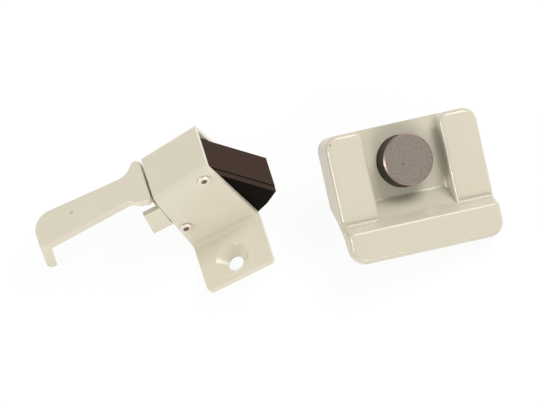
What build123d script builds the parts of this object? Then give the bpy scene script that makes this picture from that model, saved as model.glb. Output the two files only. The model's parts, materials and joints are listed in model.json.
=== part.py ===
from build123d import *
import math
import os

# A push-button latch set for an outward-opening screen door, laid out on a table.
# The inside latch lies on the left, the outside pull with its button on the right.
# Latch frame: x towards the door frame, y away from the flange, z off the door.
# Pull frame: x right, y up the door, z off the door.

# Fits
running_fit = 0.05
body_gap = 0.3

# Bracket, folded from sheet
sheet = 1.6
flange_width = 19.2
flange_reach = 15.1
flange_corner = 1.2
bracket_depth = 15.2
left_height = 25.2
top_width = 16.9
top_slope = 8.1
bend_inside = 1.2
fold_inside = 0.4
cut_past = 1.0
back_wall_bottom = 6.0

# Dimpled screw hole in the flange
screw_x = 8.8
screw_y = -8.9
screw_hole_d = 4.3
screw_land = 0.6
dimple_d = 9.2
dimple_depth = 3.0
dimple_wall = 1.0
dimple_lip = 0.5

# Tubular rivets and washers
rivet_shank_d = 2.4
rivet_bore_d = 1.6
rivet_head_d = 3.6
rivet_head_height = 0.6
rivet_rolled = 0.6
rivet_tail_d = 2.8
rivet_tail_height = 0.25
rivet_hole = 0.5
washer_thick = 0.3
washer_r = 2.0

# Bolt and its pivot
pivot_x = 13.9
pivot_z = 23.5
hub_r = 1.7
nose_x = 26.6
nose_z = 3.3
slope_top_x = 15.34
slope_top_z = 25.1
heel_x = 22.5
heel_z = 0.3
toe_x = 18.8
toe_z = -1.4
bolt_foot_x = 11.0
bolt_shoulder_x = 11.4
bolt_shoulder_drop = 1.9
hub_drop = 0.5
bolt_edge_r = 0.3
step_width = 1.75
step_depth = 0.35
relief_depth = 2.3
relief_x = 16.7
relief_top_z = 20.0
lock_rib_x = 12.0
lock_rib_width = 1.3
lock_rib_z = 9.6
lock_rib_height = 2.8
arm_left_x = 4.0
arm_bottom_z = 10.5
arm_top_z = 15.2
arm_width = 6.8

# Torsion spring of the bolt
bolt_wire = 0.4
bolt_coil_r = 1.5
bolt_pitch = 0.9
bolt_turns = 4.5
spring_room_r = 1.9
pocket_wall = 2.6
bolt_spring_leg = 3.0

# Lever handle
lever_thick = 2.2
lever_top_z = 24.8
lever_gap = 0.7
tongue_setback = 0.9
lever_end_x = -33.0
lever_near_y = 2.8
lever_far_y = 12.9
lever_corner = 5.0
lever_edge_r = 0.35
neck_x = -7.6
neck_near_y = 3.9
neck_far_y = 11.9
flare_x = -3.0
flare_near_y = 1.3
flare_far_y = 14.9
flare_corner = 0.9
flare_round = 1.6
flare_rise = 0.4
tip_corner = 1.3
tip_near_y = 3.5
tip_width = 5.4
tip_thick = 2.6
tip_drop = 10.4
tip_lean = 12.0
tip_end_r = 0.8
tongue_width = 4.4
tongue_thick = 1.5
tongue_near_y = 5.8
tongue_gap = 0.2
lever_rivet_d = 1.6
lever_rivet_head_d = 2.6
lever_rivet_head = 0.5
lever_rivet_x = 5.6
lever_rivet_pitch = 3.7

# Lock tab
lock_x = 1.8
lock_z = 9.0
tab_thick = 1.3
tab_left_x = -6.5
tab_right_x = -0.85
tab_bottom_z = 10.2
tab_top_z = 18.8
tab_lean = 1.0
tab_neck_z = 11.3
tab_hub_tangent = 0.7
tab_hub_r = 2.3
tab_nose_r = 9.9
tab_nose_width = 2.0
tab_hook_x = 8.4
tab_hook_z = 3.2
lock_turn = 75.0

# Pull body
pull_width = 42.2
pull_top = 10.1
pull_bottom = -24.3
pull_corner = 3.6
lip_corner = 4.0
pull_edge_r = 1.4
seat_bottom = -8.2
floor_z = 2.2
rib_z = 7.5
rib_inner_x = 10.7
rib_foot_y = -12.6
rib_foot_r = 0.8
groove_r = 0.6
ramp_bend_r = 3.0
bar_crest_r = 1.0
crest_share = 0.4
crease_r = 1.0
mouth_r = 2.4
corner_r = 1.5
groove_y = -13.6
groove_z = 6.9
bar_z = 10.8
bar_top_y = -16.0
ramp_foot_y = -8.7
ramp_drop = 0.3
heel_knee_y = -12.5
heel_knee_z = 3.8
lip_knee_y = -17.0
lip_knee_z = 6.2
lip_end_z = 8.0
barrel_r = 8.4
barrel_length = 5.2
barrel_end_wall = 1.4
post_x = 16.2
post_y = -0.5
post_r = 3.2
post_bore_r = 1.75
post_pocket_w = 8.2
post_pocket_h = 15.0
post_pocket_depth = 5.2

# Button, push rod and return spring
button_r = 6.8
button_side_gap = 0.1
button_proud = 6.0
button_skirt = 1.0
button_chamfer = 0.35
spring_seat_depth = 4.6
spring_seat_r = 5.3
rod_r = 2.5
rod_end_z = -7.9
rod_thread = 1.4
bush_wall = 1.0
bush_flange_r = 5.2
bush_flange = 0.8
coil_wire = 0.7
coil_r = 4.2
coil_turns = 5
ring_thick = 0.7
ring_r = 3.9
ring_groove = 0.4
ring_opening = 3.0
ring_gap = 0.1

# How the two pieces lie: where each stands, and the heading of its x axis
latch_x = -19.466
latch_y = -11.024
latch_heading = 20.8
pull_x = 33.784
pull_y = 10.126
pull_heading = 18.2
pull_lean_x = -0.235
pull_lean_y = 0.393


def rest_plane(a, b, c):
    """Upward normal of the plane through the three points that a piece stands on."""
    normal = (b - a).cross(c - a).normalized()
    return normal if normal.Z > 0 else normal * -1


def laid_frame(up, feet, heading, x, y):
    """Frame of a piece whose feet stand on the table, with its x axis turned to a heading."""
    ahead = (Vector(1, 0, 0) - up * up.X).normalized()
    side = up.cross(ahead)
    turn = math.radians(heading)
    east = ahead * math.cos(turn) - side * math.sin(turn)
    north = up.cross(east)
    height = -min(up.dot(foot) for foot in feet)
    return Plane(origin=(x, y, height), x_dir=(east.X, north.X, up.X), z_dir=(east.Z, north.Z, up.Z))


def spot(frame, x, y, z):
    """Point of a frame."""
    return frame.from_local_coords(Vector(x, y, z))


def level(frame, z):
    """Plane at height z of a frame, parallel to the door."""
    return frame.offset(z)


def side_view(frame, y):
    """Plane at depth y of a frame, seen from the flange: its x and y are the frame's x and z."""
    return Plane(origin=spot(frame, 0, y, 0), x_dir=frame.x_dir, z_dir=-frame.y_dir)


def end_view(frame, x):
    """Plane at station x of a frame: its x and y are the frame's y and z."""
    return Plane(origin=spot(frame, x, 0, 0), x_dir=frame.y_dir, z_dir=frame.x_dir)


def near(shape, point):
    """The edge of a shape that lies nearest to a point."""
    return shape.edges().sort_by_distance(point)[0]


def biarc(start, start_dir, end, end_dir):
    """Two arcs that join two points and leave and arrive in given directions."""
    chord = end - start
    lean = chord.dot(start_dir + end_dir)
    open_part = 2 * (1 - start_dir.dot(end_dir))
    reach = (math.sqrt(lean**2 + open_part * chord.dot(chord)) - lean) / open_part
    first_corner = start + start_dir * reach
    last_corner = end - end_dir * reach
    joint = (first_corner + last_corner) * 0.5
    TangentArc(start, joint, tangent=start_dir)
    TangentArc(joint, end, tangent=(last_corner - first_corner).normalized())


def coil_point(frame, radius, pitch, angle):
    """Point and direction at an angle of a coil that climbs along a frame's z."""
    c, s = math.cos(angle), math.sin(angle)
    point = spot(frame, radius * c, radius * s, pitch * angle / (2 * math.pi))
    ahead = frame.x_dir * (-radius * s) + frame.y_dir * (radius * c) + frame.z_dir * (pitch / (2 * math.pi))
    return point, ahead.normalized()


def coil_path(frame, radius, pitch, turns):
    """A coil of quarter-turn biarcs, inside an open line builder."""
    quarter = math.pi / 2
    for step in range(round(turns * 4)):
        start, start_dir = coil_point(frame, radius, pitch, step * quarter)
        end, end_dir = coil_point(frame, radius, pitch, (step + 1) * quarter)
        biarc(start, start_dir, end, end_dir)


# An edge whose direction cosine with a frame's z passes this stands upright
upright = 0.999

# Derived sizes of the latch
rise = math.tan(math.radians(top_slope))
right_height = left_height + top_width * rise
plate_drop = sheet / math.cos(math.radians(top_slope))
bend_outside = bend_inside + sheet
wall_inside = bracket_depth - sheet
bolt_near = sheet + body_gap
bolt_far = wall_inside - body_gap
bolt_width = bolt_far - bolt_near
shank_r = rivet_shank_d / 2
arm_near = bolt_near + relief_depth
tab_front = sheet + washer_thick
tab_back = tab_front + tab_thick
tongue_top = arm_top_z + tongue_thick
tongue_end_x = bolt_foot_x - tongue_gap
tongue_mid_y = tongue_near_y + tongue_width / 2
tip_run = tip_drop * math.tan(math.radians(tip_lean))
tip_end_z = lever_top_z - tip_drop
slope_run = (nose_x - slope_top_x) / (slope_top_z - nose_z)
lever_rivet_places = [(lever_rivet_x, tongue_mid_y), (lever_rivet_x + lever_rivet_pitch, tongue_mid_y)]

# The latch stands on its lever tip, the bracket's bend and the bolt's far foot
bend_centre = Vector(0, -bend_inside, bend_inside)
bend_foot = bend_centre - Vector(0, 0, bend_outside)
tip_foot = Vector(lever_end_x - tip_run + tip_thick / 2, tip_near_y + tip_width, tip_end_z)
toe_foot = Vector(bolt_foot_x, bolt_far, toe_z)
for refinement in range(3):
    latch_up = rest_plane(bend_foot, tip_foot, toe_foot)
    bend_foot = bend_centre - Vector(0, latch_up.Y, latch_up.Z).normalized() * bend_outside
LATCH = laid_frame(latch_up, [bend_foot, tip_foot, toe_foot], latch_heading, latch_x, latch_y)

# The pull leans on the rim of its barrel and the end of its rod
pull_up = Vector(pull_lean_x, pull_lean_y, 1).normalized()
downhill = Vector(-pull_up.X, -pull_up.Y, 0).normalized()
rod_foot = downhill * rod_r + Vector(0, 0, rod_end_z)
barrel_foot = downhill * barrel_r + Vector(0, 0, -barrel_length)
PULL = laid_frame(pull_up, [rod_foot, barrel_foot], pull_heading, pull_x, pull_y)


def rivet(frame, x, z, length):
    """A tubular rivet from the web's face: rolled head, shank with a blind hole, and set tail."""
    with BuildPart() as made:
        with BuildSketch(side_view(frame, -rivet_head_height)):
            with Locations((x, z)):
                Circle(rivet_head_d / 2)
        extrude(amount=-rivet_head_height)
        fillet(made.edges().group_by(Axis(frame.origin, frame.y_dir))[0], rivet_head_height * rivet_rolled)
        with BuildSketch(side_view(frame, 0)):
            with Locations((x, z)):
                Circle(shank_r)
        extrude(amount=-length)
        with BuildSketch(side_view(frame, length)):
            with Locations((x, z)):
                Circle(rivet_tail_d / 2)
        extrude(amount=-rivet_tail_height)
        with BuildSketch(side_view(frame, -rivet_head_height)):
            with Locations((x, z)):
                Circle(rivet_bore_d / 2)
        extrude(amount=-(rivet_head_height + rivet_hole), mode=Mode.SUBTRACT)
    return made


# Room inside the bracket: a channel under the sloping top
with BuildPart() as channel_space:
    with BuildSketch(side_view(LATCH, sheet)):
        past_flange = flange_width + cut_past
        Polygon(
            (-cut_past, -cut_past),
            (past_flange, -cut_past),
            (past_flange, left_height - plate_drop + past_flange * rise),
            (-cut_past, left_height - plate_drop - cut_past * rise),
            align=None,
        )
    extrude(amount=-(wall_inside - sheet))
    for y in (sheet, wall_inside):
        fillet(near(channel_space, spot(LATCH, flange_width / 2, y, left_height)), fold_inside)

# Folded bracket: web, sloping top and back wall, then the flange with its screw dimple
with BuildPart() as mounting_bracket:
    with BuildSketch(side_view(LATCH, 0)):
        Polygon((0, 0), (flange_width, 0), (top_width, right_height), (0, left_height), align=None)
    extrude(amount=-bracket_depth)
    ridge_z = left_height + top_width / 2 * rise
    for y in (0, bracket_depth):
        fillet(near(mounting_bracket, spot(LATCH, top_width / 2, y, ridge_z)), fold_inside + sheet)
    add(channel_space.part, mode=Mode.SUBTRACT)
    with BuildSketch(level(LATCH, -cut_past)):
        with Locations((flange_width / 2, bracket_depth)):
            Rectangle(flange_width + 2 * cut_past, 2 * (wall_inside - cut_past))
    extrude(amount=back_wall_bottom + cut_past, mode=Mode.SUBTRACT)
    with BuildSketch(level(LATCH, -sheet)):
        with Locations((flange_width / 2, (sheet - flange_reach) / 2)):
            Rectangle(flange_width, flange_reach + sheet)
    extrude(amount=sheet)
    fillet(near(mounting_bracket, spot(LATCH, flange_width / 2, 0, 0)), bend_inside)
    fillet(near(mounting_bracket, spot(LATCH, flange_width / 2, sheet, -sheet)), bend_outside)
    for x in (0, flange_width):
        fillet(near(mounting_bracket, spot(LATCH, x, -flange_reach, -sheet / 2)), flange_corner)
    screw_axis = Axis(spot(LATCH, screw_x, screw_y, 0), LATCH.z_dir)
    funnel = Plane(origin=spot(LATCH, screw_x, screw_y, 0), x_dir=LATCH.x_dir, z_dir=-LATCH.y_dir)
    with BuildSketch(funnel):
        Polygon(
            (0, -sheet / 2),
            (dimple_d / 2 + dimple_wall, -sheet / 2),
            (dimple_d / 2 + dimple_wall, -sheet),
            (screw_hole_d / 2 + dimple_wall, -dimple_depth),
            (0, -dimple_depth),
            align=None,
        )
    revolve(axis=screw_axis)
    with BuildSketch(funnel):
        Polygon(
            (0, cut_past),
            (dimple_d / 2, cut_past),
            (dimple_d / 2, 0),
            (screw_hole_d / 2, screw_land - dimple_depth),
            (screw_hole_d / 2, -dimple_depth - cut_past),
            (0, -dimple_depth - cut_past),
            align=None,
        )
    revolve(axis=screw_axis, mode=Mode.SUBTRACT)
    fillet(near(mounting_bracket, spot(LATCH, screw_x + dimple_d / 2, screw_y, 0)), dimple_lip)
    with BuildSketch(side_view(LATCH, -cut_past)):
        with Locations((pivot_x, pivot_z)):
            Circle(shank_r + running_fit)
    extrude(amount=-(bracket_depth + 2 * cut_past), mode=Mode.SUBTRACT)
    with BuildSketch(side_view(LATCH, -cut_past)):
        with Locations((lock_x, lock_z)):
            Circle(shank_r + running_fit)
    extrude(amount=-(sheet + 2 * cut_past), mode=Mode.SUBTRACT)

# Upper rivet, the pivot of lever and bolt, and lower rivet, the pivot of the lock tab
bolt_rivet = rivet(LATCH, pivot_x, pivot_z, bracket_depth)
lock_rivet = rivet(LATCH, lock_x, lock_z, tab_back + running_fit)

# Friction washer between web and lock tab
with BuildPart() as tab_washer:
    with BuildSketch(side_view(LATCH, sheet)):
        with Locations((lock_x, lock_z)):
            Circle(washer_r)
            Circle(shank_r + running_fit, mode=Mode.SUBTRACT)
    extrude(amount=-(washer_thick - running_fit))

# Lock tab: a thumb plate outside the bracket and a nose inside
with BuildPart() as lock_tab:
    with BuildSketch(side_view(LATCH, tab_front)):
        Polygon(
            (tab_left_x, tab_bottom_z),
            (lock_x - tab_hub_r, tab_bottom_z),
            (lock_x + tab_hub_r * tab_hub_tangent, lock_z + tab_hub_r * tab_hub_tangent),
            (tab_right_x, tab_neck_z),
            (tab_right_x, tab_top_z),
            (tab_left_x + tab_lean, tab_top_z),
            align=None,
        )
        with Locations((lock_x, lock_z)):
            Circle(tab_hub_r)
        # The nose is drawn as it stands when locked, then turned back to rest
        with BuildSketch(mode=Mode.PRIVATE) as nose:
            Circle(tab_nose_r)
            Polygon(
                (0, -tab_nose_width / 2),
                (tab_nose_r, -tab_nose_width / 2),
                (tab_nose_r, tab_hook_z),
                (tab_hook_x, tab_hook_z),
                (tab_hook_x, tab_nose_width / 2),
                (0, tab_nose_width / 2),
                align=None,
                mode=Mode.INTERSECT,
            )
        add(nose.sketch.rotate(Axis.Z, -lock_turn).moved(Location((lock_x, lock_z))))
        with Locations((lock_x, lock_z)):
            Circle(shank_r + running_fit, mode=Mode.SUBTRACT)
    extrude(amount=-tab_thick)

# Wedge bolt: brown moulding with hub, spring pocket, lock lug and lever arm
with BuildPart() as wedge_bolt:
    with BuildSketch(side_view(LATCH, bolt_near)):
        Polygon(
            (slope_top_x, slope_top_z),
            (nose_x, nose_z),
            (heel_x, heel_z),
            (toe_x, toe_z),
            (bolt_foot_x, toe_z),
            (bolt_shoulder_x, slope_top_z - bolt_shoulder_drop),
            (pivot_x - hub_r, slope_top_z - hub_drop),
            align=None,
        )
    extrude(amount=-bolt_width)
    fillet(wedge_bolt.edges(), bolt_edge_r)
    # A shallow step runs down the slope beside the near edge
    with BuildSketch(side_view(LATCH, bolt_near)):
        Polygon(
            (slope_top_x - step_depth, slope_top_z),
            (nose_x - step_depth, nose_z),
            (nose_x - step_depth + slope_run * cut_past, nose_z - cut_past),
            (nose_x + cut_past, nose_z - cut_past),
            (nose_x + cut_past, slope_top_z + cut_past),
            (slope_top_x - step_depth - slope_run * cut_past, slope_top_z + cut_past),
            align=None,
        )
    extrude(amount=-step_width, mode=Mode.SUBTRACT)
    # Room for the lock tab beside the web, with the rib that its nose hooks left standing
    with BuildSketch(side_view(LATCH, bolt_near)):
        with Locations((relief_x / 2, (toe_z + relief_top_z) / 2)):
            Rectangle(relief_x, relief_top_z - toe_z)
        with Locations((lock_rib_x + lock_rib_width / 2, lock_rib_z + lock_rib_height / 2)):
            Rectangle(lock_rib_width, lock_rib_height, mode=Mode.SUBTRACT)
    extrude(amount=-relief_depth, mode=Mode.SUBTRACT)
    # Arm that carries the lever's tongue and that the push rod lifts
    with BuildSketch(side_view(LATCH, arm_near)):
        with Locations(((arm_left_x + relief_x) / 2, (arm_bottom_z + arm_top_z) / 2)):
            Rectangle(relief_x - arm_left_x, arm_top_z - arm_bottom_z)
    extrude(amount=-arm_width)
    # Pocket for the torsion spring, open to the left
    with BuildSketch(side_view(LATCH, bolt_near + pocket_wall)):
        with Locations((pivot_x, pivot_z)):
            Circle(spring_room_r)
        with Locations((pivot_x - spring_room_r, pivot_z)):
            Rectangle(2 * spring_room_r, 2 * spring_room_r)
    extrude(amount=-(bolt_width - 2 * pocket_wall), mode=Mode.SUBTRACT)
    with BuildSketch(side_view(LATCH, 0)):
        with Locations((pivot_x, pivot_z)):
            Circle(shank_r + running_fit)
    extrude(amount=-bracket_depth, mode=Mode.SUBTRACT)
    with BuildSketch(level(LATCH, arm_bottom_z)):
        with Locations(*lever_rivet_places):
            Circle(lever_rivet_d / 2)
    extrude(amount=arm_top_z - arm_bottom_z, mode=Mode.SUBTRACT)

# Lever handle: blade with a flared end, bent-down tip, and tongue under the bracket's top
with BuildPart() as lever_handle:
    with BuildSketch(level(LATCH, lever_top_z - lever_thick)):
        with BuildLine():
            Spline(
                (neck_x, neck_far_y),
                (flare_x, flare_far_y),
                tangents=((1, 0.05), (0.6, 1)),
            )
            Polyline(
                (flare_x, flare_far_y),
                (-lever_gap - flare_corner, flare_far_y),
                (-lever_gap, flare_far_y - flare_corner),
                (-lever_gap, flare_near_y + flare_round),
            )
            RadiusArc(
                (-lever_gap, flare_near_y + flare_round),
                (-lever_gap - flare_round, flare_near_y),
                flare_round,
            )
            Line((-lever_gap - flare_round, flare_near_y), (flare_x, flare_near_y + flare_rise))
            Spline(
                (flare_x, flare_near_y + flare_rise),
                (neck_x, neck_near_y),
                tangents=((-1, 0.1), (-1, 0.1)),
            )
            Polyline(
                (neck_x, neck_near_y),
                (lever_end_x + tip_corner, lever_near_y),
                (lever_end_x, lever_near_y + tip_corner),
                (lever_end_x, lever_far_y - lever_corner),
            )
            RadiusArc(
                (lever_end_x, lever_far_y - lever_corner),
                (lever_end_x + lever_corner, lever_far_y),
                lever_corner,
            )
            Line((lever_end_x + lever_corner, lever_far_y), (neck_x, neck_far_y))
        make_face()
    extrude(amount=lever_thick)
    fillet(lever_handle.edges().group_by(Axis(LATCH.origin, LATCH.z_dir))[-1], lever_edge_r)
    with BuildSketch(side_view(LATCH, tip_near_y)):
        Polygon(
            (lever_end_x, lever_top_z),
            (lever_end_x - tip_run, tip_end_z),
            (lever_end_x - tip_run + tip_thick, tip_end_z),
            (lever_end_x + tip_thick, lever_top_z),
            align=None,
        )
    extrude(amount=-tip_width)
    tip_mid_y = tip_near_y + tip_width / 2
    for x, end_r in ((lever_end_x - tip_run, 2 * tip_end_r), (lever_end_x - tip_run + tip_thick, tip_end_r)):
        fillet(near(lever_handle, spot(LATCH, x, tip_mid_y, tip_end_z)), end_r)
    with BuildSketch(side_view(LATCH, tongue_near_y)):
        Polygon(
            (-tongue_setback, lever_top_z - lever_thick),
            (-tongue_setback, tongue_top),
            (tongue_end_x, tongue_top),
            (tongue_end_x, arm_top_z),
            (-tongue_setback - tongue_thick, arm_top_z),
            (-tongue_setback - tongue_thick, lever_top_z - lever_thick),
            align=None,
        )
    extrude(amount=-tongue_width)
    with BuildSketch(level(LATCH, arm_top_z)):
        with Locations(*lever_rivet_places):
            Circle(lever_rivet_d / 2)
    extrude(amount=tongue_thick, mode=Mode.SUBTRACT)

# Two rivets hold the tongue on the bolt's arm
with BuildPart() as lever_rivets:
    with BuildSketch(level(LATCH, arm_bottom_z)):
        with Locations(*lever_rivet_places):
            Circle(lever_rivet_d / 2)
    extrude(amount=tongue_top - arm_bottom_z)
    for head_z in (arm_bottom_z - lever_rivet_head, tongue_top):
        with BuildSketch(level(LATCH, head_z)):
            with Locations(*lever_rivet_places):
                Circle(lever_rivet_head_d / 2)
        extrude(amount=lever_rivet_head)

# Torsion spring on the upper rivet
spring_start = bolt_near + pocket_wall + (bolt_width - 2 * pocket_wall - bolt_pitch * bolt_turns) / 2
coil_frame = Plane(origin=spot(LATCH, pivot_x, spring_start, pivot_z), x_dir=LATCH.z_dir, z_dir=LATCH.y_dir)
with BuildPart() as bolt_spring:
    with BuildLine() as bolt_wire_path:
        first, first_dir = coil_point(coil_frame, bolt_coil_r, bolt_pitch, 0)
        last, last_dir = coil_point(coil_frame, bolt_coil_r, bolt_pitch, bolt_turns * 2 * math.pi)
        Line(first - first_dir * bolt_spring_leg, first)
        coil_path(coil_frame, bolt_coil_r, bolt_pitch, bolt_turns)
        Line(last, last + last_dir * bolt_spring_leg)
    with BuildSketch(Plane(origin=first - first_dir * bolt_spring_leg, z_dir=first_dir)):
        Circle(bolt_wire / 2)
    sweep(path=bolt_wire_path.wires()[0])

# Derived sizes of the pull
half_width = pull_width / 2
rim_band = lip_corner / 3
shoulder_x = rib_inner_x + pull_edge_r
mouth_x = rib_inner_x + mouth_r
button_bore_r = button_r + button_side_gap
bore_floor_z = barrel_end_wall - barrel_length
bush_top_z = bore_floor_z + bush_flange
button_top_z = floor_z + button_proud
button_foot_z = floor_z - button_skirt
seat_z = button_foot_z + spring_seat_depth
ring_top_z = -barrel_length - ring_gap


def disc(frame, z, radius, height, mode=Mode.ADD):
    """A round slab of the open part, from height z of a frame upwards."""
    with BuildSketch(level(frame, z)) as face:
        Circle(radius)
    extrude(to_extrude=face.sketch, amount=height, mode=mode)


def rib_side(way):
    """Foot, wall and shoulder of a rib on the side that faces the recess."""
    RadiusArc(
        (way * (rib_inner_x - corner_r), floor_z),
        (way * rib_inner_x, floor_z + corner_r),
        -way * corner_r,
    )
    Line((way * rib_inner_x, floor_z + corner_r), (way * rib_inner_x, rib_z - pull_edge_r))
    RadiusArc(
        (way * rib_inner_x, rib_z - pull_edge_r),
        (way * shoulder_x, rib_z),
        way * pull_edge_r,
    )


# A rib's upper inner corner, turned about its own axis
with BuildPart() as rib_corner:
    with BuildSketch(side_view(PULL, pull_top - mouth_r)):
        with BuildLine():
            rib_side(1)
            Line((shoulder_x, rib_z), (mouth_x, rib_z))
            Line((mouth_x, rib_z), (mouth_x, floor_z))
            Line((mouth_x, floor_z), (rib_inner_x - corner_r, floor_z))
        make_face()
    revolve(axis=Axis(spot(PULL, mouth_x, pull_top - mouth_r, 0), PULL.z_dir))

# What the recess takes away round that corner
with BuildPart() as mouth_side:
    with BuildSketch(level(PULL, floor_z)):
        with Locations(((rib_inner_x - corner_r + mouth_x) / 2, pull_top + (cut_past - mouth_r) / 2)):
            Rectangle(mouth_r + corner_r, mouth_r + cut_past)
    extrude(amount=bar_z - floor_z)
    add(rib_corner.part, mode=Mode.SUBTRACT)

# Thumb recess between the ribs: a trough with rounded shoulders, closed below by the ramp
with BuildPart() as thumb_recess:
    with BuildSketch(side_view(PULL, pull_top + cut_past)):
        with BuildLine():
            for way in (-1, 1):
                Line((way * (rib_inner_x - corner_r), floor_z), (0, floor_z))
                rib_side(way)
                Line((way * shoulder_x, rib_z), (way * shoulder_x, bar_z + cut_past))
            Line((-shoulder_x, bar_z + cut_past), (shoulder_x, bar_z + cut_past))
        make_face()
    extrude(amount=pull_top + cut_past - bar_top_y + bar_crest_r)
    with BuildSketch(end_view(PULL, -shoulder_x)) as above_ramp:
        Polygon(
            (pull_top + cut_past, floor_z),
            (ramp_foot_y, floor_z),
            (groove_y, groove_z - ramp_drop),
            (bar_top_y + bar_crest_r * crest_share, bar_z - bar_crest_r * crest_share),
            (bar_top_y + bar_crest_r * crest_share, bar_z + cut_past),
            (pull_top + cut_past, bar_z + cut_past),
            align=None,
        )
        bends = (((ramp_foot_y, floor_z), crease_r), ((groove_y, groove_z - ramp_drop), ramp_bend_r))
        for place, bend_r in bends:
            fillet(above_ramp.vertices().sort_by_distance(place)[0], bend_r)
    extrude(amount=2 * shoulder_x, mode=Mode.INTERSECT)
    add(mouth_side.part)
    add(mouth_side.part.mirror(end_view(PULL, 0)))


def on_outline(edge):
    """Whether an edge belongs to the rim round the front of the pull body."""
    middle = PULL.to_local_coords(edge.center())
    front_z = (bar_z + lip_end_z) / 2 if middle.Y < bar_top_y else groove_z - bar_crest_r
    at_rim = (
        abs(middle.X) > half_width - rim_band
        or middle.Y > pull_top - rim_band
        or middle.Y < pull_bottom + rim_band
    )
    return middle.Z > front_z and at_rim and abs((edge % 0.5).dot(PULL.z_dir)) < upright


# Pull body: a die casting with two ribs, a recess for the thumb and a lip for the fingers
with BuildPart() as handle_body:
    with BuildSketch(end_view(PULL, -half_width)) as profile:
        Polygon(
            (pull_top, 0),
            (seat_bottom, 0),
            (heel_knee_y, heel_knee_z),
            (lip_knee_y, lip_knee_z),
            (pull_bottom, lip_end_z),
            (pull_bottom, bar_z),
            (bar_top_y, bar_z),
            (groove_y, groove_z),
            (rib_foot_y, rib_z),
            (pull_top, rib_z),
            align=None,
        )
        for place, bend_r in (
            ((rib_foot_y, rib_z), rib_foot_r),
            ((groove_y, groove_z), groove_r),
            ((bar_top_y, bar_z), bar_crest_r),
        ):
            fillet(profile.vertices().sort_by_distance(place)[0], bend_r)
    extrude(amount=pull_width)
    for x in (-half_width, half_width):
        fillet(near(handle_body, spot(PULL, x, pull_top, rib_z / 2)), pull_corner)
        fillet(near(handle_body, spot(PULL, x, pull_bottom, (bar_z + lip_end_z) / 2)), lip_corner)
    fillet([edge for edge in handle_body.edges() if on_outline(edge)], pull_edge_r)
    add(thumb_recess.part, mode=Mode.SUBTRACT)
    disc(PULL, -barrel_length, barrel_r, barrel_length)
    disc(PULL, bore_floor_z, button_bore_r, barrel_length + floor_z, mode=Mode.SUBTRACT)
    disc(PULL, -barrel_length, rod_r + bush_wall, barrel_end_wall, mode=Mode.SUBTRACT)
    with BuildSketch(level(PULL, 0)):
        with Locations((-post_x, post_y), (post_x, post_y)):
            RectangleRounded(post_pocket_w, post_pocket_h, pull_edge_r)
            Circle(post_r, mode=Mode.SUBTRACT)
            Circle(post_bore_r)
    extrude(amount=post_pocket_depth, mode=Mode.SUBTRACT)

# Push button: turned steel, hollow below for its spring
with BuildPart() as push_button:
    disc(PULL, button_foot_z, button_r, button_top_z - button_foot_z)
    chamfer(push_button.edges().group_by(Axis(PULL.origin, PULL.z_dir))[-1], button_chamfer)
    disc(PULL, button_foot_z, spring_seat_r, spring_seat_depth, mode=Mode.SUBTRACT)
    disc(PULL, seat_z, rod_r, rod_thread, mode=Mode.SUBTRACT)

# Push rod, threaded into the button, with a groove for its ring
with BuildPart() as push_rod:
    disc(PULL, rod_end_z, rod_r, seat_z + rod_thread - rod_end_z)
    chamfer(push_rod.edges().group_by(Axis(PULL.origin, PULL.z_dir))[0], button_chamfer)
    with BuildSketch(level(PULL, ring_top_z - ring_thick)):
        Circle(rod_r + cut_past)
        Circle(rod_r - ring_groove, mode=Mode.SUBTRACT)
    extrude(amount=ring_thick, mode=Mode.SUBTRACT)

# Guide bush in the barrel's end wall
with BuildPart() as guide_bush:
    disc(PULL, -barrel_length, rod_r + bush_wall, barrel_end_wall)
    disc(PULL, bore_floor_z, bush_flange_r, bush_flange)
    disc(PULL, -barrel_length, rod_r + running_fit, barrel_end_wall + bush_flange, mode=Mode.SUBTRACT)

# Open retaining ring in the rod's groove
with BuildPart() as retaining_ring:
    with BuildSketch(level(PULL, ring_top_z - ring_thick)):
        Circle(ring_r)
        Circle(rod_r - ring_groove, mode=Mode.SUBTRACT)
        with Locations((ring_r, 0)):
            Rectangle(2 * ring_r, ring_opening, mode=Mode.SUBTRACT)
    extrude(amount=ring_thick)

# Return spring around the rod, between the bush and the button
coil_pitch = (seat_z - bush_top_z - coil_wire) / coil_turns
button_coil_frame = level(PULL, bush_top_z + coil_wire / 2)
with BuildPart() as button_spring:
    with BuildLine() as coil_wire_path:
        coil_path(button_coil_frame, coil_r, coil_pitch, coil_turns)
    coil_first, coil_first_dir = coil_point(button_coil_frame, coil_r, coil_pitch, 0)
    with BuildSketch(Plane(origin=coil_first, z_dir=coil_first_dir)):
        Circle(coil_wire / 2)
    sweep(path=coil_wire_path.wires()[0])

pieces = {
    "mounting_bracket": mounting_bracket,
    "bolt_rivet": bolt_rivet,
    "lock_rivet": lock_rivet,
    "tab_washer": tab_washer,
    "lock_tab": lock_tab,
    "wedge_bolt": wedge_bolt,
    "lever_handle": lever_handle,
    "lever_rivets": lever_rivets,
    "bolt_spring": bolt_spring,
    "handle_body": handle_body,
    "push_button": push_button,
    "push_rod": push_rod,
    "guide_bush": guide_bush,
    "retaining_ring": retaining_ring,
    "button_spring": button_spring,
}

os.makedirs("parts", exist_ok=True)
for piece_name, piece in pieces.items():
    piece.part.label = piece_name
    export_step(piece.part, f"parts/{piece_name}.step")
    print(piece_name, len(piece.part.solids()), round(piece.part.volume, 2), "mm3")
print("bolt spring self-gap", round(bolt_pitch - bolt_wire, 2), "mm")
print("button spring self-gap", round(coil_pitch - coil_wire, 2), "mm")
print("latch frame", LATCH.origin, LATCH.x_dir, LATCH.y_dir, LATCH.z_dir)
print("pull frame", PULL.origin, PULL.x_dir, PULL.y_dir, PULL.z_dir)
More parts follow.
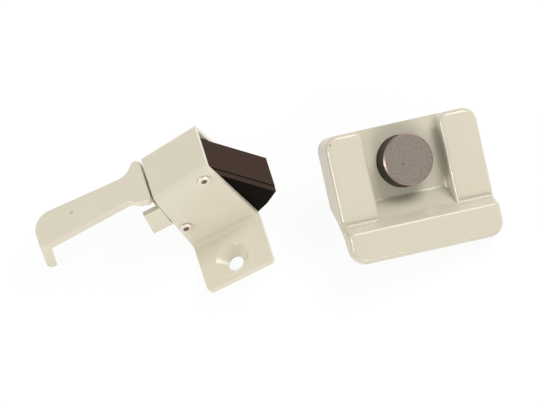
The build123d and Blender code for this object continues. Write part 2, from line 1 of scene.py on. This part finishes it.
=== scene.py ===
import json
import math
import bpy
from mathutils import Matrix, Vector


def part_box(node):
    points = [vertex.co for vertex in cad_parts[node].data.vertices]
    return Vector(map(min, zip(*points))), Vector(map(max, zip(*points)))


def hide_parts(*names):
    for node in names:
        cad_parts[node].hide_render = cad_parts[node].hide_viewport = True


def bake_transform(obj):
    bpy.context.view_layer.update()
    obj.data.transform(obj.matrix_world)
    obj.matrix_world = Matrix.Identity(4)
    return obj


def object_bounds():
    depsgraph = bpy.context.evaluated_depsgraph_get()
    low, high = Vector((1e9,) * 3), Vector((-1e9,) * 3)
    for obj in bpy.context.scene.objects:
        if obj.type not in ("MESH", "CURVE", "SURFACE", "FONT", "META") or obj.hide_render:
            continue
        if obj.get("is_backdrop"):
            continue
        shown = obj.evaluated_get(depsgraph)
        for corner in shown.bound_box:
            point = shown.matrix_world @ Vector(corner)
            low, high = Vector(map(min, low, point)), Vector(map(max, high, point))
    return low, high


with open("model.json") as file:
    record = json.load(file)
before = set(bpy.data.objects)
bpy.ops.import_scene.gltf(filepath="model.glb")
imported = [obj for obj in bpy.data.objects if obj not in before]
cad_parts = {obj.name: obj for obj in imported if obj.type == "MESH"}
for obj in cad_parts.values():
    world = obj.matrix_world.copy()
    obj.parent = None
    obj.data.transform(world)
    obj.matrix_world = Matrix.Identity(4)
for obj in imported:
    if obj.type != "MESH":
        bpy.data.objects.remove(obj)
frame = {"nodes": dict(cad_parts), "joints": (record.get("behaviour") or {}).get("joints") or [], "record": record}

# %% [markdown]
# A screen door latch, laid out as two pieces on a table: the inside latch on the left and the
# outside pull on the right. The solids come from the CAD model, already in their places, so this
# lesson is about finishes, light and the camera. The first thing to keep is the box that the CAD
# model fills, because the finished model has to stay inside it.

MM = 0.001
cad_low, cad_high = (Vector(corner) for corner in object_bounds())
cad_size = cad_high - cad_low
print("CAD box in mm:", [round(side / MM, 1) for side in cad_size])

# %% [markdown]
# Finishes are easiest to read off a real object as screen colours, but a renderer adds and
# multiplies light, so it needs linear values. One function turns a hex colour into those. A second
# one adds a shader node with its settings and its links in a single call, which keeps each finish
# short enough to read as a list of what the surface is made of.

# %% Colour and node helpers
def linear(hex_colour):
    """Linear RGBA of an sRGB hex colour."""
    channels = [int(hex_colour[place:place + 2], 16) / 255 for place in (1, 3, 5)]
    return tuple(c / 12.92 if c <= 0.04045 else ((c + 0.055) / 1.055) ** 2.4 for c in channels) + (1.0,)


def add_node(tree, kind, inputs=None, **settings):
    """A node with its settings; an input is given a value, or an output socket to link from."""
    node = tree.nodes.new(kind)
    for name, value in settings.items():
        setattr(node, name, value)
    for name, value in (inputs or {}).items():
        if isinstance(value, bpy.types.NodeSocket):
            tree.links.new(value, node.inputs[name])
        else:
            node.inputs[name].default_value = value
    return node


def new_finish(name):
    """An empty material, its node tree and its position node."""
    material = bpy.data.materials.new(name)
    material.use_nodes = True
    material.node_tree.nodes.clear()
    place = add_node(material.node_tree, "ShaderNodeTexCoord").outputs["Object"]
    return material, material.node_tree, place


def finish_with(tree, shader):
    """Sends a shader to the material's output."""
    add_node(tree, "ShaderNodeOutputMaterial", {"Surface": shader})


print("white is", linear("#FFFFFF"), "and middle grey is", round(linear("#808080")[0], 3))

# %% [markdown]
# A pattern has a real size. A noise texture's scale counts its waves in one unit of the object's
# own space, which is a metre here, so a pattern of a given width in millimetres needs a thousand
# divided by that width.

# %% Pattern scale from a real width
def waves_per_metre(width_mm):
    """Texture scale of a pattern whose waves are this wide."""
    return 1 / (width_mm * MM)


print("a 2 mm pattern has a scale of", waves_per_metre(2))

# %% [markdown]
# Small accidents make paint believable: a chip on a corner, a pit in the coat. Each could be
# cut into the mesh, but they are only tenths of a millimetre deep. A mask by distance from
# one point is enough: it is 1 inside the mark and falls to 0 at its ragged edge.

# %% Mask for a single mark
FADED_AT = 1.4  # in radii of the mark


def mark_mask(tree, place, centre, radius_mm, ragged_mm):
    """1 inside a small round mark with a ragged edge, 0 outside it."""
    wobble = add_node(tree, "ShaderNodeTexNoise", {
        "Vector": place, "Scale": waves_per_metre(ragged_mm),
    })
    away = add_node(tree, "ShaderNodeVectorMath", {0: place, 1: centre}, operation="DISTANCE")
    edge = add_node(tree, "ShaderNodeMath", {
        0: wobble.outputs["Fac"], 1: radius_mm * MM,
    }, operation="MULTIPLY")
    reach = add_node(tree, "ShaderNodeMath", {
        0: away.outputs["Value"], 1: edge.outputs[0],
    }, operation="ADD")
    fade = add_node(tree, "ShaderNodeMapRange", {
        "Value": reach.outputs[0],
        "From Min": radius_mm * MM, "From Max": FADED_AT * radius_mm * MM,
        "To Min": 1.0, "To Max": 0.0,
    })
    return fade.outputs["Result"]


print("a mark is drawn by its distance from one point")

# %% [markdown]
# Both pieces wear a glossy stone-coloured baked enamel. Sprayed enamel flows out before it is
# baked, which leaves a hard clear gloss over very slight waves, the orange peel. Its colour is
# almost even. So the finish is one plain colour with a slow drift of a shade or two, a low
# roughness, the IOR of a paint resin and a fine bump, about two millimetres from wave to wave.

# %% Baked enamel
ENAMEL_IOR = 1.5
ENAMEL_ROUGHNESS = 0.19
PEEL_WIDTH_MM = 2.2
PEEL_HEIGHT_MM = 0.006
DRIFT_WIDTH_MM = 14.0
MARK_DEPTH = 6.0  # in heights of the peel


def baked_enamel(name, colour, shade, marks=()):
    """Glossy enamel that drifts between two near colours, with small marks in the coat."""
    material, tree, place = new_finish(name)
    drift = add_node(tree, "ShaderNodeTexNoise", {
        "Vector": place, "Scale": waves_per_metre(DRIFT_WIDTH_MM), "Detail": 3.0,
    })
    tone = add_node(tree, "ShaderNodeMix", {
        "Factor": drift.outputs["Fac"], "A": linear(colour), "B": linear(shade),
    }, data_type="RGBA")
    peel = add_node(tree, "ShaderNodeTexNoise", {
        "Vector": place, "Scale": waves_per_metre(PEEL_WIDTH_MM), "Detail": 1.0,
    })
    surface_colour, depth = tone.outputs["Result"], peel.outputs["Fac"]
    for centre, radius_mm, mark_colour in marks:
        mask = mark_mask(tree, place, centre, radius_mm, radius_mm)
        surface_colour = add_node(tree, "ShaderNodeMix", {
            "Factor": mask, "A": surface_colour, "B": linear(mark_colour),
        }, data_type="RGBA").outputs["Result"]
        dent = add_node(tree, "ShaderNodeMath", {0: mask, 1: MARK_DEPTH}, operation="MULTIPLY")
        depth = add_node(tree, "ShaderNodeMath", {
            0: depth, 1: dent.outputs[0],
        }, operation="SUBTRACT").outputs[0]
    skin = add_node(tree, "ShaderNodeBump", {
        "Height": depth, "Distance": PEEL_HEIGHT_MM * MM, "Strength": 1.0,
    })
    paint = add_node(tree, "ShaderNodeBsdfPrincipled", {
        "Base Color": surface_colour, "Roughness": ENAMEL_ROUGHNESS, "IOR": ENAMEL_IOR,
        "Normal": skin.outputs["Normal"],
    })
    finish_with(tree, paint.outputs["BSDF"])
    return material


def corner_of(node, right, back, up):
    """A point of a CAD node's box; each share runs from 0 at the low side to 1 at the high side."""
    low, high = (Vector(corner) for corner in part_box(node))
    return low + Vector((right, back, up)) * (high - low)


lever_pit = corner_of("lever_handle", 0.22, 0.463, 0.592)
pull_chip = corner_of("handle_body", 0.067, 0.651, 0.994)
sheet_enamel = baked_enamel(
    "stone_enamel_on_sheet", "#D4CDBA", "#D0C9B5", [(lever_pit, 0.7, "#B9B19E")],
)
# The casting's copy of the same enamel is painted a little darker than the sheet's, as painted shade that evens
# out the stronger light on the pull
casting_enamel_painted_darker = baked_enamel(
    "stone_enamel_on_casting_painted_darker", "#CCC5B2", "#C8C0AD", [(pull_chip, 0.45, "#A59C86")],
)
print("enamel:", sheet_enamel.name, "and", casting_enamel_painted_darker.name)

# %% [markdown]
# The wedge bolt is moulded in dark brown acetal, which slides well on a steel strike. Its sides are painted almost
# black, as painted shade, and its slope is painted a lighter brown, as painted light where the lamps fall on it;
# the slope is also rougher, where the strike rubs it. So the finish is two browns, and the slope's own direction
# tells one from the other. That direction comes from the latch's axes: its hinge runs across the latch, its screw
# hole points off the door, and the slope leans between the third axis and that.

# %% The direction of the bolt's slope
SLOPE_LEAN = math.radians(27.3)
hinge = next(joint for joint in frame["joints"] if joint["name"] == "bolt_swing")
screw_hole = next(mount for mount in frame["record"]["mounts"] if mount["name"] == "screw_hole")
across = Vector(hinge["axis"]).normalized()
off_door = Vector(screw_hole["axis"]).normalized()
to_strike = across.cross(off_door)
slope_way = to_strike * math.cos(SLOPE_LEAN) + off_door * math.sin(SLOPE_LEAN)
print("the slope faces", [round(part, 3) for part in slope_way])

# %% [markdown]
# The mould's satin texture is a few hundredths of a millimetre fine, which is too fine to show, so it is drawn
# wider. Faint streaks of a second brown run down the painted light on the slope.

# %% Moulded brown acetal
ACETAL_IOR = 1.48
ACETAL_SPECULAR = 0.02
MOULDED_ROUGHNESS = 0.38
RUBBED_ROUGHNESS = 0.6
MOULD_TEXTURE_MM = 0.5
MOULD_DEPTH_MM = 0.006
SLOPE_STREAK_MM = 0.7
# Cosines of the angle to the slope's direction between which the painted light on the slope, and its higher
# roughness, begin
LIT_SLOPE_AND_RUB_BEGINS, LIT_SLOPE_AND_RUB_FULL = 0.88, 0.97


def moulded_acetal(name, dark_shaded_colour, lit_slope_colour, lit_slope_streak_colour):
    """Satin moulded plastic: sides painted near black as painted shade, the slope painted lighter as painted
    light, and the slope rougher.
    """
    material, tree, place = new_finish(name)
    own_normal = add_node(tree, "ShaderNodeTexCoord").outputs["Normal"]
    facing = add_node(tree, "ShaderNodeVectorMath", {
        0: own_normal, 1: slope_way,
    }, operation="DOT_PRODUCT")
    # Painted light: the slope is painted lighter browns than the sides, which keep the near black of painted shade
    lit_slope_and_rub = add_node(tree, "ShaderNodeMapRange", {
        "Value": facing.outputs["Value"], "From Min": LIT_SLOPE_AND_RUB_BEGINS, "From Max": LIT_SLOPE_AND_RUB_FULL,
    })
    across_slope = add_node(tree, "ShaderNodeVectorMath", {
        0: place, 1: across,
    }, operation="DOT_PRODUCT")
    streaks = add_node(tree, "ShaderNodeTexNoise", {
        "W": across_slope.outputs["Value"], "Scale": waves_per_metre(SLOPE_STREAK_MM), "Detail": 3.0,
    }, noise_dimensions="1D")
    lit_slope_tone = add_node(tree, "ShaderNodeMix", {
        "Factor": streaks.outputs["Fac"], "A": linear(lit_slope_colour), "B": linear(lit_slope_streak_colour),
    }, data_type="RGBA")
    tone = add_node(tree, "ShaderNodeMix", {
        "Factor": lit_slope_and_rub.outputs["Result"], "A": linear(dark_shaded_colour), "B": lit_slope_tone.outputs["Result"],
    }, data_type="RGBA")
    gloss = add_node(tree, "ShaderNodeMapRange", {
        "Value": lit_slope_and_rub.outputs["Result"], "To Min": MOULDED_ROUGHNESS, "To Max": RUBBED_ROUGHNESS,
    })
    grain = add_node(tree, "ShaderNodeTexNoise", {
        "Vector": place, "Scale": waves_per_metre(MOULD_TEXTURE_MM), "Detail": 2.0,
    })
    skin = add_node(tree, "ShaderNodeBump", {
        "Height": grain.outputs["Fac"], "Distance": MOULD_DEPTH_MM * MM, "Strength": 1.0,
    })
    plastic = add_node(tree, "ShaderNodeBsdfPrincipled", {
        "Base Color": tone.outputs["Result"], "Roughness": gloss.outputs["Result"], "IOR": ACETAL_IOR,
        "Specular IOR Level": ACETAL_SPECULAR, "Normal": skin.outputs["Normal"],
    })
    finish_with(tree, plastic.outputs["BSDF"])
    return material


# The near-black first colour is painted shade on the sides; the two lighter browns are painted light on the slope
brown_acetal = moulded_acetal("moulded_brown_acetal", "#130F0B", "#45372F", "#3D3029")
print("bolt:", brown_acetal.name)

# %% [markdown]
# The button is turned on a lathe, so its face carries fine rings around its own axis. Their
# spacing is the tool's feed, about a tenth of a millimetre, which is too fine to show here, so
# they are drawn four times as wide. The rings need the button's own axes: a mapping node
# carries each point into them, and the joint that the button slides on gives the direction.

# %% The button's own axes
slide = next(joint for joint in frame["joints"] if joint["name"] == "button_slide")
button_axis = -Vector(slide["axis"]).normalized()
button_face = Vector(slide["pos_m"])
button_turn = Vector((0, 0, 1)).rotation_difference(button_axis).to_euler()
print("button faces", [round(part, 3) for part in button_axis])

# %% [markdown]
# Only the face and the rim are painted bright. The side is painted nearly black as painted shade, the rim is
# painted a warmer tone, partly a warm tint of the edge and partly painted light on the chamfer, and one speck of
# rust sits on the face. How far a point's own direction leans from the button's axis tells face, rim and side
# apart.

# %% Turned steel
FEED_MM = 0.4
RING_WAVER = 0.6
SPECKLE_MM = 0.6
CUT_DEPTH_MM = 0.004
STEEL_ROUGHNESS = 0.42
RUST_SPOT_MM = Vector((-1.4, -1.3, 0))
RUST_RADIUS_MM = 0.3
# Cosines of the angle to the button's axis between which the rim and then the face begin
RIM_BEGINS, RIM_FULL = 0.3, 0.6
FACE_BEGINS, FACE_FULL = 0.8, 0.99


def turned_steel(name, colour, shade, rim_colour, side_shade_colour, speck_colour):
    """Turned steel: a face of rings and speckles, a warm rim that is partly painted light, a side painted dark as
    painted shade, one rust speck.
    """
    material, tree, place = new_finish(name)
    own = add_node(tree, "ShaderNodeMapping", {
        "Vector": place, "Location": button_face, "Rotation": button_turn,
    }, vector_type="TEXTURE").outputs["Vector"]
    rings = add_node(tree, "ShaderNodeTexWave", {
        "Vector": own, "Scale": waves_per_metre(FEED_MM) / (2 * math.pi),
        "Distortion": RING_WAVER, "Detail": 1.0,
    }, wave_type="RINGS", rings_direction="Z")
    speckle = add_node(tree, "ShaderNodeTexNoise", {
        "Vector": own, "Scale": waves_per_metre(SPECKLE_MM), "Detail": 3.0,
    })
    tone = add_node(tree, "ShaderNodeMix", {
        "Factor": speckle.outputs["Fac"], "A": linear(colour), "B": linear(shade),
    }, data_type="RGBA")
    own_normal = add_node(tree, "ShaderNodeTexCoord").outputs["Normal"]
    facing = add_node(tree, "ShaderNodeVectorMath", {
        0: own_normal, 1: button_axis,
    }, operation="DOT_PRODUCT")
    # Painted shade on the side, and partly painted light on the rim, chosen by how far the surface leans from the
    # button's axis
    on_rim = add_node(tree, "ShaderNodeMapRange", {
        "Value": facing.outputs["Value"], "From Min": RIM_BEGINS, "From Max": RIM_FULL,
    })
    on_face = add_node(tree, "ShaderNodeMapRange", {
        "Value": facing.outputs["Value"], "From Min": FACE_BEGINS, "From Max": FACE_FULL,
    })
    rim_tone = add_node(tree, "ShaderNodeMix", {
        "Factor": on_rim.outputs["Result"], "A": linear(side_shade_colour), "B": linear(rim_colour),
    }, data_type="RGBA")
    side_shade_rim_face_tone = add_node(tree, "ShaderNodeMix", {
        "Factor": on_face.outputs["Result"], "A": rim_tone.outputs["Result"], "B": tone.outputs["Result"],
    }, data_type="RGBA")
    speck = mark_mask(tree, own, RUST_SPOT_MM * MM, RUST_RADIUS_MM, RUST_RADIUS_MM)
    colour_out = add_node(tree, "ShaderNodeMix", {
        "Factor": speck, "A": side_shade_rim_face_tone.outputs["Result"], "B": linear(speck_colour),
    }, data_type="RGBA")
    relief = add_node(tree, "ShaderNodeMath", {
        0: rings.outputs["Fac"], 1: speckle.outputs["Fac"],
    }, operation="ADD")
    skin = add_node(tree, "ShaderNodeBump", {
        "Height": relief.outputs[0], "Distance": CUT_DEPTH_MM * MM, "Strength": 1.0,
    })
    steel = add_node(tree, "ShaderNodeBsdfPrincipled", {
        "Base Color": colour_out.outputs["Result"], "Metallic": 1.0, "Roughness": STEEL_ROUGHNESS,
        "Normal": skin.outputs["Normal"],
    })
    finish_with(tree, steel.outputs["BSDF"])
    return material


# The fifth colour paints the side nearly black as painted shade; the rim colour is partly painted light
button_steel = turned_steel(
    "turned_steel_button", "#BEB2A6", "#7E7469", "#AE978A", "#25221D", "#5A4030",
)
print("button:", button_steel.name)

# %% [markdown]
# The small metal parts differ in how they were made. Tubular rivets are nickel-plated and then rolled over, so
# they shine with a faint warm tint. Springs and rings are drawn or stamped from spring steel and stay grey. The
# bush is turned from brass. One function serves all of them, since each is a metal with its own colour, roughness
# and a fine mottled tone. Where the surface is closed in, as in the rivets' bores and round their heads, it is
# painted a darker brown as painted shade: ambient occlusion finds such places, as it measures how much of the open
# sky a point of the surface sees.

# %% Plated, drawn and turned metals
# Painted shade: closed-in places are painted towards this darker brown
PAINTED_SHADE_COLOUR = "#7A6452"
PAINTED_SHADE_REACH_MM = 1.0
SHADED_BELOW, UNSHADED_ABOVE = 0.3, 0.75  # shares of open sky
ROUGHNESS_SPREAD = 0.08


def small_metal(name, colour, shade, roughness, mottle_mm):
    """Metal with a slightly mottled tone, painted darker and browner as painted shade where the surface is closed
    in.
    """
    material, tree, place = new_finish(name)
    mottle = add_node(tree, "ShaderNodeTexNoise", {
        "Vector": place, "Scale": waves_per_metre(mottle_mm), "Detail": 3.0,
    })
    tone = add_node(tree, "ShaderNodeMix", {
        "Factor": mottle.outputs["Fac"], "A": linear(colour), "B": linear(shade),
    }, data_type="RGBA")
    rough = add_node(tree, "ShaderNodeMapRange", {
        "Value": mottle.outputs["Fac"],
        "To Min": roughness - ROUGHNESS_SPREAD, "To Max": roughness + ROUGHNESS_SPREAD,
    })
    # Painted shade, stronger where less open sky is seen
    open_sky = add_node(tree, "ShaderNodeAmbientOcclusion", {
        "Distance": PAINTED_SHADE_REACH_MM * MM,
    }, samples=8)
    unshaded = add_node(tree, "ShaderNodeMapRange", {
        "Value": open_sky.outputs["AO"], "From Min": SHADED_BELOW, "From Max": UNSHADED_ABOVE,
    })
    painted_shade_tone = add_node(tree, "ShaderNodeMix", {
        "Factor": unshaded.outputs["Result"], "A": linear(PAINTED_SHADE_COLOUR), "B": tone.outputs["Result"],
    }, data_type="RGBA")
    metal = add_node(tree, "ShaderNodeBsdfPrincipled", {
        "Base Color": painted_shade_tone.outputs["Result"], "Metallic": 1.0, "Roughness": rough.outputs["Result"],
    })
    finish_with(tree, metal.outputs["BSDF"])
    return material


rivet_plating = small_metal("nickel_plated_rivet", "#F8EEE6", "#E6D8CC", 0.46, 1.2)
spring_wire = small_metal("drawn_spring_steel", "#A5A6A8", "#8C8D90", 0.32, 0.8)
turned_brass = small_metal("turned_brass_bush", "#D8B56A", "#C29F58", 0.34, 1.0)
print("small metals:", rivet_plating.name, spring_wire.name, turned_brass.name)

# %% [markdown]
# Each CAD solid now gets its finish. The mesh stays as the CAD made it: only the material in
# its slot changes.

# %% Dress the CAD solids
finishes = {
    "mounting_bracket": sheet_enamel, "lever_handle": sheet_enamel, "lock_tab": sheet_enamel,
    "handle_body": casting_enamel_painted_darker, "wedge_bolt": brown_acetal,
    "bolt_rivet": rivet_plating, "lock_rivet": rivet_plating, "lever_rivets": rivet_plating,
    "tab_washer": rivet_plating, "bolt_spring": spring_wire, "button_spring": spring_wire,
    "retaining_ring": spring_wire, "guide_bush": turned_brass,
    "push_button": button_steel, "push_rod": button_steel,
}
for node_name, finish in finishes.items():
    node_object = frame["nodes"][node_name]
    node_object.data.materials.clear()
    node_object.data.materials.append(finish)
print(len(finishes), "solids dressed, of", len(frame["nodes"]))

# %% [markdown]
# Two springs stand between a piece that moves and one that stays, so no single body carries them. Each spring is a
# copy of its solid that belongs to no body and takes that solid's place, and the solid itself is hidden.


def giving_spring(node):
    """A copy of a spring's solid that takes the solid's place, with the solid hidden."""
    solid = frame["nodes"][node]
    wire = bpy.data.objects.new(node + "_wire", solid.data.copy())
    bpy.context.scene.collection.objects.link(wire)
    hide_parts(node)
    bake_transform(wire)


giving_spring("button_spring")
giving_spring("bolt_spring")

# %% [markdown]
# The table is one wide sheet of white paper. What the camera sees of it, directly or in a
# reflection, is mostly plain white, as in a catalogue picture, and the rest is lit paper, so that
# a soft shadow stays under the pieces.

# %% Paper table
TABLE_SIDE = 3.0
FIBRE_CLOUD_MM = 30.0
PLAIN_SHARE = 0.9
bpy.ops.mesh.primitive_plane_add(size=TABLE_SIDE, location=(0, 0, cad_low.z))
table = bpy.context.object
table.name = "paper_table"
paper, paper_tree, paper_place = new_finish("white_paper")
fibre = add_node(paper_tree, "ShaderNodeTexNoise", {
    "Vector": paper_place, "Scale": waves_per_metre(FIBRE_CLOUD_MM),
})
paper_tone = add_node(paper_tree, "ShaderNodeMix", {
    "Factor": fibre.outputs["Fac"], "A": linear("#FFFFFF"), "B": linear("#FCFCFA"),
}, data_type="RGBA")
lit_paper = add_node(paper_tree, "ShaderNodeBsdfDiffuse", {"Color": paper_tone.outputs["Result"]})
plain_white = add_node(paper_tree, "ShaderNodeEmission", {
    "Color": linear("#FFFFFF"), "Strength": 1.0,
})
ray = add_node(paper_tree, "ShaderNodeLightPath")
seen = add_node(paper_tree, "ShaderNodeMath", {
    0: ray.outputs["Is Camera Ray"], 1: ray.outputs["Is Glossy Ray"],
}, operation="MAXIMUM")
seen_through = add_node(paper_tree, "ShaderNodeMath", {
    0: seen.outputs[0], 1: ray.outputs["Is Transmission Ray"],
}, operation="MAXIMUM")
share = add_node(paper_tree, "ShaderNodeMath", {
    0: seen_through.outputs[0], 1: PLAIN_SHARE,
}, operation="MULTIPLY")
mixed = add_node(paper_tree, "ShaderNodeMixShader", {
    0: share.outputs[0], 1: lit_paper.outputs["BSDF"], 2: plain_white.outputs["Emission"],
})
finish_with(paper_tree, mixed.outputs["Shader"])
table.data.materials.append(paper)
table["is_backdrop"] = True
print("table at height", round(cad_low.z / MM, 2), "mm")

# %% [markdown]
# The light is a studio tent with three soft boxes. The tent fills the shadows. The box behind on
# the right lights what faces up and leaves the recess below the button darker. The one in front on
# the right lights the bracket's web, and the small one in front on the left draws the rounded
# edges.

# %% Tent and soft boxes
TENT_STRENGTH = 0.5


def soft_box(name, spot_mm, side_mm, watts):
    """A square area light that faces the middle of the table."""
    light = bpy.data.lights.new(name, "AREA")
    light.shape = "SQUARE"
    light.size = side_mm * MM
    light.energy = watts
    lamp = bpy.data.objects.new(name, light)
    bpy.context.scene.collection.objects.link(lamp)
    lamp.location = Vector(spot_mm) * MM
    lamp.rotation_euler = (-lamp.location).to_track_quat("-Z", "Y").to_euler()


world = bpy.data.worlds.new("studio_tent")
bpy.context.scene.world = world
world.use_nodes = True
world.node_tree.nodes.clear()
tent = add_node(world.node_tree, "ShaderNodeBackground", {
    "Color": linear("#FFFFFF"), "Strength": TENT_STRENGTH,
})
add_node(world.node_tree, "ShaderNodeOutputWorld", {"Surface": tent.outputs["Background"]})
soft_box("box_behind_right", (240, 300, 420), 300, 1.95)
soft_box("box_front_right", (270, -480, 240), 300, 1.3)
soft_box("box_front_left", (-490, -230, 296), 140, 1.3)
print("tent and 3 soft boxes")

# %% [markdown]
# The photograph was taken from nearly overhead with a long lens, so parallel lines stay
# parallel. An orthographic camera gives that. Its height above the horizon is read from the
# round button, which shows as a slightly flat ellipse, and its scale from the 19 mm flange.

# %% Camera
PHOTO_WIDTH_PX = 540
PX_PER_MM = 3.85
ELEVATION = math.radians(68.5)
CAMERA_DISTANCE = 1.2
# The photograph's centre looks at this point of the table's plane
AIM_MM = Vector((0.284, 1.926, 0.0))

lens = bpy.data.cameras.new("photo_camera")
lens.type = "ORTHO"
lens.ortho_scale = PHOTO_WIDTH_PX / PX_PER_MM * MM
camera = bpy.data.objects.new("photo_camera", lens)
bpy.context.scene.collection.objects.link(camera)
view_line = Vector((0, -math.cos(ELEVATION), math.sin(ELEVATION)))
camera.location = AIM_MM * MM + view_line * CAMERA_DISTANCE
camera.rotation_euler = view_line.to_track_quat("Z", "Y").to_euler()
bpy.context.scene.camera = camera
bpy.context.scene.view_settings.view_transform = "Standard"
print("camera sees a width of", round(lens.ortho_scale / MM, 1), "mm")
